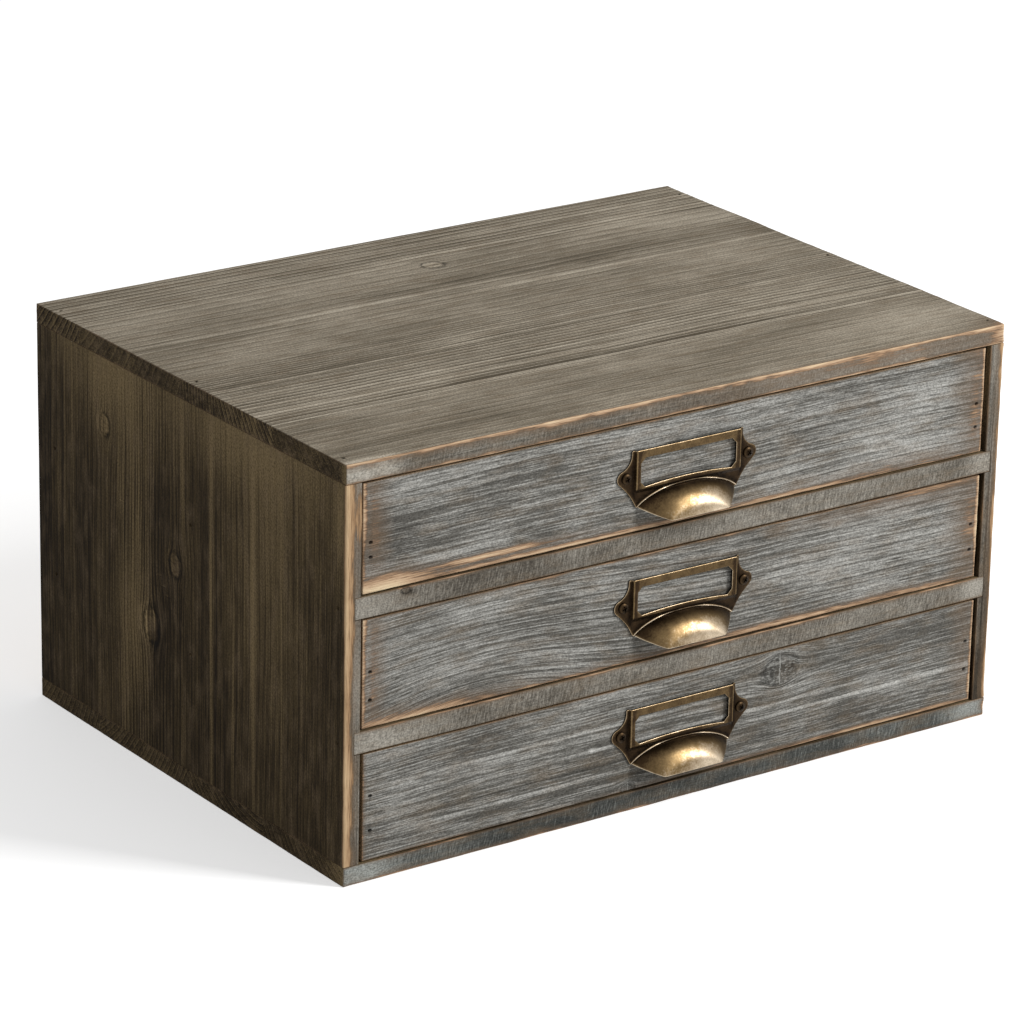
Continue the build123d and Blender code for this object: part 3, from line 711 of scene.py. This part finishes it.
def pressed(loops, rows, height, thickness):
    """Sheet pressed to a height over its plan. Its first loop is the outline and the others are holes.
    It gives points (across, out, up), faces, and which points are on the front."""
    free = np.concatenate(rows)
    clear = inside(free, loops[0]) & (np.min([from_line(free, loop) for loop in loops], axis=0) > least_gap)
    for loop in loops[1:]:
        clear &= ~inside(free, loop)
    plan, edges = np.concatenate([*loops, free[clear]]), []
    for loop in loops:
        start = len(edges)
        edges += [(start + i, start + (i + 1) % len(loop)) for i in range(len(loop))]
    spots, _, triangles, *_ = delaunay_2d_cdt([Vector(p) for p in plan], edges, [], 0, 1e-4)
    plan, triangles = np.array([list(p) for p in spots]), np.array(triangles)
    middle = plan[triangles].mean(axis=1)
    kept = inside(middle, loops[0])
    for loop in loops[1:]:
        kept &= ~inside(middle, loop)
    triangles = triangles[kept]
    used, triangles = np.unique(triangles, return_inverse=True)
    plan, triangles = plan[used], triangles.reshape(-1, 3)
    out = height(plan)
    count = len(plan)
    under_side = np.maximum(out - thickness, least_out)
    points = np.concatenate([np.c_[plan[:, 0], face, plan[:, 1]] for face in (out, under_side)])
    sides = np.concatenate([triangles[:, (0, 1)], triangles[:, (1, 2)], triangles[:, (2, 0)]])
    lone = sorted({tuple(s) for s in sides.tolist()} - {tuple(s[::-1]) for s in sides.tolist()})
    rim = np.unique(lone)
    under = dict(zip(rim.tolist(), range(2 * count, 2 * count + len(rim))))
    faces = triangles.tolist() + (triangles[:, ::-1] + count).tolist()
    faces += [(b, a, under[a], under[b]) for a, b in lone]
    faces += [(under[b], under[a], a + count, b + count) for a, b in lone]
    return np.concatenate([points, points[rim] - (0, rim_step, 0)]), faces, count


def plate_loop():
    """Outline of the plate: square above, a screw ear each side, an ogee waist and the arch of the cup."""
    across = plate_half + ear_hollow - ear_middle
    hollow = (plate_half + ear_hollow, sqrt((ear_radius + ear_hollow) ** 2 - across ** 2))
    lean = np.degrees(atan2(hollow[1], across))
    turn = radians(ear_end)
    waist = np.array([ear_middle + ear_radius * cos(turn), ear_radius * sin(turn)])
    handles = [waist, waist + ear_pull * np.array([sin(turn), -cos(turn)]),
               cup_end + cup_pull * np.array([cos(cup_lean), sin(cup_lean)]), cup_end]
    t = np.linspace(0, 1, 24)[:, None]
    shares = ((1 - t) ** 3, 3 * (1 - t) ** 2 * t, 3 * (1 - t) * t ** 2, t ** 3)
    ogee = sum(share * handle for share, handle in zip(shares, handles))
    start = np.degrees(np.arcsin((cup_root - cup_base) / cup_rise))
    inner = (cup_axis - cup_sheet, cup_rise - cup_sheet)
    half = np.concatenate([
        [(0, plate_top), (plate_half - 0.4, plate_top), (plate_half, plate_top - 0.4)],
        arc_points(hollow, (ear_hollow,) * 2, 180, 180 + lean, 16),
        arc_points((ear_middle, 0), (ear_radius,) * 2, lean, ear_end, 24),
        ogee, arc_points((0, cup_base), inner, start, 90, 40)])
    return np.concatenate([half, (half * (-1, 1))[-2:0:-1]])


def window_loop():
    """Card window with cut corners and a sill that arches a little."""
    sill = window_half - window_corner
    t = np.linspace(-1, 1, 40)
    arch = np.stack([sill * t, window_sill + sill_arch * (1 - t ** 2)], axis=-1)
    low, high = window_sill + window_corner, window_top - window_corner
    rim = [(sill, window_sill), (window_half, low), (window_half, high), (sill, window_top),
           (-sill, window_top), (-window_half, high), (-window_half, low)]
    return np.concatenate([arch, rim])


def eased_step(value):
    """Rise from 0 to 1 with both ends eased."""
    value = np.clip(value, 0, 1)
    return value * value * (3 - 2 * value)


outline, window = evenly(plate_loop(), 0.4), evenly(window_loop(), 0.4)


def from_bead(plan):
    """How far points lie outside the root of the cup."""
    share = np.hypot(plan[:, 0] / cup_axis, (plan[:, 1] - cup_base) / cup_rise)
    return (1 - 1 / np.maximum(share, 1e-6)) * np.hypot(plan[:, 0], plan[:, 1] - cup_base)


def plate_height(plan):
    """Front of the plate above the drawer front: flange, raised frame, bead and rounded edges."""
    wall = eased_step((frame_half + wall_run / 2 - np.abs(plan[:, 0])) / wall_run)
    ramp = eased_step((plan[:, 1] - frame_foot) / frame_ramp)
    bead = bead_rise * np.exp(-((from_bead(plan) - bead_width / 2) / bead_spread) ** 2)
    edge = np.minimum(from_line(plan, outline), from_line(plan, window))
    return sheet + frame_rise * wall * ramp + bead - edge_round * (1 - np.clip(edge / edge_reach, 0, 1)) ** 2


def offset_rows(loop, steps):
    """Lines that follow a closed line at small distances on both sides."""
    way = np.roll(loop, -1, axis=0) - np.roll(loop, 1, axis=0)
    normal = np.stack([way[:, 1], -way[:, 0]], axis=-1) / np.linalg.norm(way, axis=1)[:, None]
    return [loop + side * step * normal for step in steps for side in (-1, 1)]


def grid_rows(xs, zs):
    """Every crossing of two sets of lines."""
    return np.stack(np.meshgrid(xs, zs), axis=-1).reshape(-1, 2)


wall_steps = np.array([-0.34, -0.24, -0.12, 0, 0.12, 0.24, 0.34])
foot_steps = np.array([-0.2, 0, 0.25, 0.6, 1, 1.4, 1.75, 2, 2.2])
bead_steps, edge_steps = (-0.2, 0, 0.1, 0.2, 0.3, 0.4, 0.5, 0.6, 0.8), (0.1, 0.22, 0.38)
plate_rows = offset_rows(outline, edge_steps) + offset_rows(window, edge_steps)
wall_levels = np.arange(frame_foot - 1, plate_top, 0.6)
plate_rows += [grid_rows(side * frame_half + wall_steps, wall_levels) for side in (-1, 1)]
plate_rows.append(grid_rows(np.arange(-frame_half, frame_half, 0.8), frame_foot + foot_steps))
plate_rows += [arc_points((0, cup_base), (cup_axis + step, cup_rise + step), 24, 156, 150)
               for step in bead_steps]
plate_rows.append(grid_rows(np.arange(-36, 36, 1.1), np.arange(-14, 12, 1.1)) + 0.37)
plate_points, plate_faces, plate_count = pressed([outline, window], plate_rows, plate_height, sheet)


def dome(inset, turns, runs):
    """One side of the cup: arches that shrink from the plate to the straight front lip."""
    base, rise, reach = cup_base, cup_rise - inset, cup_reach - inset
    last = np.arccos(np.clip((cup_root - lip_fall - base) / rise, 0, 1))
    turn = last * np.sin(np.linspace(0, pi / 2, turns))[:, None]
    share = np.sin(turn)
    half = cup_axis - (cup_axis - cup_front_half) * share - inset
    cut = cup_root - lip_fall * share * reach / cup_reach - base
    start = np.arcsin(np.clip(cut / (rise * np.cos(turn)), 0, 1))
    angle = start + (pi - 2 * start) * np.linspace(0, 1, runs)[None, :]
    x = half * np.cos(angle)
    z = base + rise * np.cos(turn) * np.sin(angle)
    return np.stack([x, np.broadcast_to(share * reach, x.shape), z], axis=-1)


def cup():
    """Both sides of the cup, joined round its edge."""
    turns, runs = 40, 90
    outer, inner = dome(0, turns, runs), dome(cup_sheet, turns, runs)
    number = np.arange(turns * runs).reshape(turns, runs)
    quads = [number[:-1, :-1], number[1:, :-1], number[1:, 1:], number[:-1, 1:]]
    quads = np.stack(quads, axis=-1).reshape(-1, 4)
    rim = np.concatenate([number[:, 0], number[-1, 1:], number[-2::-1, -1], number[0, -2:0:-1]])
    following = np.roll(rim, -1)
    faces = quads[:, ::-1].tolist() + (quads + turns * runs).tolist()
    faces += np.stack([rim, following, following + turns * runs, rim + turns * runs], axis=-1).tolist()
    return np.concatenate([outer.reshape(-1, 3), inner.reshape(-1, 3)]), faces


cup_points, cup_faces = cup()


def antique_brass(name, deep="#130d08", middle="#6c593d", bright="#cbbba4"):
    """Stamped brass, blackened and then rubbed: dark in the hollows, mottled brown gold on the flats
    and pale gold on edges and swells, which on the pulls also carry painted highlights. The mottling
    is 0.8 mm and 4 mm wide."""
    material, tree = new_material(name)
    rub = add(tree, "Attribute", attribute_name="rub").outputs["Fac"]
    place = add(tree, "TexCoord").outputs["Object"]
    speck = add(tree, "TexNoise", {"Vector": place, "Scale": 1 / (0.8 * mm), "Detail": 3.0, "Roughness": 0.6})
    cloud = add(tree, "TexNoise", {"Vector": place, "Scale": 1 / (4 * mm), "Detail": 3.0})
    tone = weighed(tree, rub, (cloud, 0.35), (speck, 0.3))
    colour = add(tree, "ValToRGB", {"Fac": weighed(tree, -0.325, (tone, 1.0))},
                 [(0.0, deep), (0.3, "#33271a"), (0.6, middle), (1.0, bright)])
    rough = {"Value": tone, "From Min": 0.2, "From Max": 1.3, "To Min": 0.5, "To Max": 0.24}
    bump = add(tree, "Bump", {"Strength": 0.15, "Distance": 0.05 * mm, "Height": speck})
    return finished(material, colour, add(tree, "MapRange", rough), bump, {"Metallic": 1.0})


def rub_and_painted_highlights():
    """How bright each point of the pull is coloured, from 0 in the hollows to 1 on the edges: rubbed
    brass and blackened hollows, with painted highlights on the edges, window rim, frame crest, bead
    and cup lip, a painted highlight right of the cup's middle and painted shade on its upper part.
    """
    plan = plate_points[:, (0, 2)]
    # Bright lines along the outline, the window rim, the frame's crest and the bead: rubbed brass, plus
    # painted highlights where these rounded edges catch the lamp.
    edge = np.exp(-from_line(plan, outline) / 0.4)
    rim = np.exp(-from_line(plan, window) / 0.4)
    wall = frame_half - np.abs(plan[:, 0])
    above = plan[:, 1] > frame_foot + frame_ramp
    crest_rub_and_glint = np.exp(-np.abs(wall - 0.3) / 0.3) * above
    bead = np.exp(-(from_bead(plan) - bead_width / 2) ** 2 / 0.18)
    soot = np.maximum(np.exp(-np.abs(wall + 0.7) / 0.9), np.exp(-np.abs(from_bead(plan) - 1.6) / 1.1))
    flat = np.where(above & (wall > 0), np.where(wall > 2.5, 0.44, 0.3), 0.26)
    plate = np.maximum.reduce([0.9 * edge, 0.95 * rim, 0.7 * crest_rub_and_glint, 1.0 * bead, flat - 0.35 * soot])
    plate[plate_count:] = 0.0
    out, rise = cup_points[:, 1] / cup_reach, (cup_points[:, 2] - cup_base) / cup_rise
    # The cup lightens from its root out to the lip, most just right of its middle: patina and rubbing, plus
    # painted shade on its up-facing part, a painted highlight where the lamp's reflection falls and a painted
    # highlight along the lip.
    lit_and_rubbed_side = 0.72 + 0.28 * np.exp(-((cup_points[:, 0] - 10) / 12) ** 2)
    swell = np.clip(0.02 + 0.85 * out ** 0.6, 0, 1) * lit_and_rubbed_side
    lip = np.exp(-(cup_points[:, 2] - (cup_root - lip_fall * out)) / 0.5)
    return np.concatenate([plate, np.maximum(swell, lip)])


brass = antique_brass("antique_brass")
pull_points = np.concatenate([plate_points, cup_points])
pull_faces = plate_faces + [[i + len(plate_points) for i in face] for face in cup_faces]
pull_rub_and_highlights = rub_and_painted_highlights()


def screw_line(body):
    """Middle of the line through a drawer's two screws on its front's face, and half the screws' span."""
    low, high = corners(f"{body}_pull_screws")
    front_low, _ = corners(f"{body}_front")
    return np.array([(low[0] + high[0]) / 2, front_low[1], (low[2] + high[2]) / 2]), (high[0] - low[0]) / 2


for bay in bays:
    body = f"{bay}_drawer"
    placed = screw_line(body)[0] + pull_points * (1, -1, 1)
    make_piece(f"{body}_pull_stamping", placed, pull_faces, brass, body, [f"{body}_pull"],
               {"rub": pull_rub_and_highlights})


# Pull screws: short round-head wood screws with a cross recess, blackened like the hollows of the
# pull, with a bright ring where the head is rubbed.

head_radius, head_rise, recess_half, recess_width, recess_depth, recess_wall = 2.4, 1.3, 1.2, 0.3, 0.7, 0.15
shank_radius, thread_rise, thread_pitch, shank_end = 0.85, 0.25, 0.9, -6.7


def screw_height(plan):
    """Domed head with its cross recess."""
    share = np.linalg.norm(plan, axis=1) / (head_radius + 0.15)
    dome_out = head_rise * np.sqrt(np.clip(1 - share ** 2, 0, 1))
    x, z = np.abs(plan).T
    from_arms = np.maximum(np.maximum(x, z) - recess_half, np.minimum(x, z) - recess_width)
    cross_in = np.clip(-from_arms / recess_wall, 0, 1)
    return sheet + np.maximum(dome_out - recess_depth * cross_in, 0.05)


circle = arc_points((0, 0), (head_radius,) * 2, 0, 360, 73)[:-1]
screw_rows = [arc_points((0, 0), (radius, radius), 0, 360, max(12, int(radius * 30)))[:-1]
              for radius in np.arange(0.15, head_radius, 0.15)]
cross_floor = recess_width - recess_wall
cross_steps = np.array([-recess_width, -cross_floor, 0, cross_floor, recess_width])
arm_steps = np.linspace(-recess_half, recess_half, 17)
screw_rows += [grid_rows(cross_steps, arm_steps), grid_rows(arm_steps, cross_steps)]
flat_under = 9.0
head_points, head_faces, _ = pressed([circle], screw_rows, screw_height, flat_under)
head_points[:, 1] = np.maximum(head_points[:, 1], sheet)


def threaded_shank():
    """Wood-screw shank with a thread that winds along it, tapering to its point."""
    rows, around = 64, 20
    out = np.linspace(sheet, shank_end, rows)[:, None]
    angle = np.linspace(0, 2 * pi, around, endpoint=False)[None, :]
    wave = np.abs(((out / thread_pitch - angle / (2 * pi)) % 1) * 2 - 1) ** 3
    taper = np.clip((out - shank_end) / 2.0, 0.04, 1)
    radius = (shank_radius + thread_rise * wave) * taper
    points = [radius * np.cos(angle), np.broadcast_to(out, radius.shape), radius * np.sin(angle)]
    number = np.arange(rows * around).reshape(rows, around)
    ahead = np.roll(number, -1, axis=1)
    faces = np.stack([number[:-1], ahead[:-1], ahead[1:], number[1:]], axis=-1).reshape(-1, 4).tolist()
    return np.stack(points, axis=-1).reshape(-1, 3), faces + [number[0, ::-1].tolist(), number[-1].tolist()]


shank_points, shank_faces = threaded_shank()
dark_screws = antique_brass("blackened_screws", deep="#15100b", middle="#4a3d2b", bright="#9c8a68")
one_screw = np.concatenate([head_points, shank_points])
one_faces = head_faces + [[i + len(head_points) for i in face] for face in shank_faces]
from_axis = np.linalg.norm(one_screw[:, (0, 2)], axis=1)
screw_rub = np.clip(0.1 + 0.3 * np.exp(-((from_axis - 1.9) / 0.4) ** 2), 0, 1)
for bay in bays:
    body = f"{bay}_drawer"
    middle, half_span = screw_line(body)
    points, faces = [], []
    for number, (side, turn) in enumerate(((-1, radians(20)), (1, radians(-35)))):
        turned = one_screw @ np.array([[cos(turn), 0, sin(turn)], [0, 1, 0], [-sin(turn), 0, cos(turn)]])
        points.append(middle + (side * (half_span - head_radius), 0, 0) + turned * (1, -1, 1))
        faces += [[i + number * len(one_screw) for i in face] for face in one_faces]
    make_piece(f"{body}_pull_screw_pair", np.concatenate(points), faces, dark_screws, body,
               [f"{body}_pull_screws"], {"rub": np.tile(screw_rub, 2)})


# Brads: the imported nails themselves, flat steel wire with small T heads, grey and a little dull
# where they show at the bottom of their pits.

def steel_wire():
    """Dull grey steel, with darker specks 0.5 mm wide."""
    material, tree = new_material("steel_wire")
    place = add(tree, "TexCoord").outputs["Object"]
    speck = add(tree, "TexNoise", {"Vector": place, "Scale": 1 / (0.5 * mm), "Detail": 2.0})
    colour = add(tree, "ValToRGB", {"Fac": speck}, [(0.35, "#4c463f"), (0.65, "#8d8880")])
    rough = add(tree, "MapRange", {"Value": speck, "To Min": 0.35, "To Max": 0.6})
    return finished(material, colour, rough, None, {"Metallic": 1.0})


wire = steel_wire()
for name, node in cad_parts.items():
    if name.endswith("nails"):
        node.data.materials.clear()
        node.data.materials.append(wire)


# Studio: a pale floor without a join, one large soft lamp from the front right and above, and an
# even sky. The sky and the floor read white to the eye and to the metal.

def background_rays(tree):
    """One for the rays that show the background to the eye, in metal and through glass."""
    path = add(tree, "LightPath").outputs
    seen = add(tree, "Math", {0: path["Is Camera Ray"], 1: path["Is Glossy Ray"]}, operation="MAXIMUM")
    return add(tree, "Math", {0: seen, 1: path["Is Transmission Ray"]}, operation="MAXIMUM")


scene = bpy.context.scene
world = bpy.data.worlds.new("studio")
scene.world = world
world.use_nodes = True
sky = world.node_tree
sky.nodes.clear()
level = add(sky, "MapRange", {"Value": background_rays(sky), "To Min": 0.5, "To Max": 1.0})
add(sky, "OutputWorld", {"Surface": add(sky, "Background", {"Color": "#ffffff", "Strength": level})})

floor_mesh = bpy.data.meshes.new("floor")
floor_corners = [(6.0 * x, 6.0 * y, 0) for x, y in ((-1, -1), (1, -1), (1, 1), (-1, 1))]
floor_mesh.from_pydata(floor_corners, [], [(0, 1, 2, 3)])
paper, tree = new_material("white_paper")
matt = add(tree, "BsdfDiffuse", {"Color": "#efefef"})
glow = add(tree, "Emission", {"Color": "#ffffff", "Strength": 0.45})
both = add(tree, "AddShader", {0: matt, 1: glow})
add(tree, "OutputMaterial", {"Surface": add(tree, "MixShader", {0: background_rays(tree), 1: matt, 2: both})})
floor_mesh.materials.append(paper)
floor = bpy.data.objects.new("floor", floor_mesh)
scene.collection.objects.link(floor)

light = bpy.data.lights.new("key", "AREA")
light.shape, light.size, light.size_y, light.energy = "RECTANGLE", 0.5, 1.2, 38
lamp = bpy.data.objects.new("key", light)
lamp.location = (1.1, -1.45, 1.3)
lamp.rotation_mode = "QUATERNION"
lamp.rotation_quaternion = (aim - lamp.location).to_track_quat("-Z", "Y")
scene.collection.objects.link(lamp)
scene.view_settings.view_transform = "Standard"
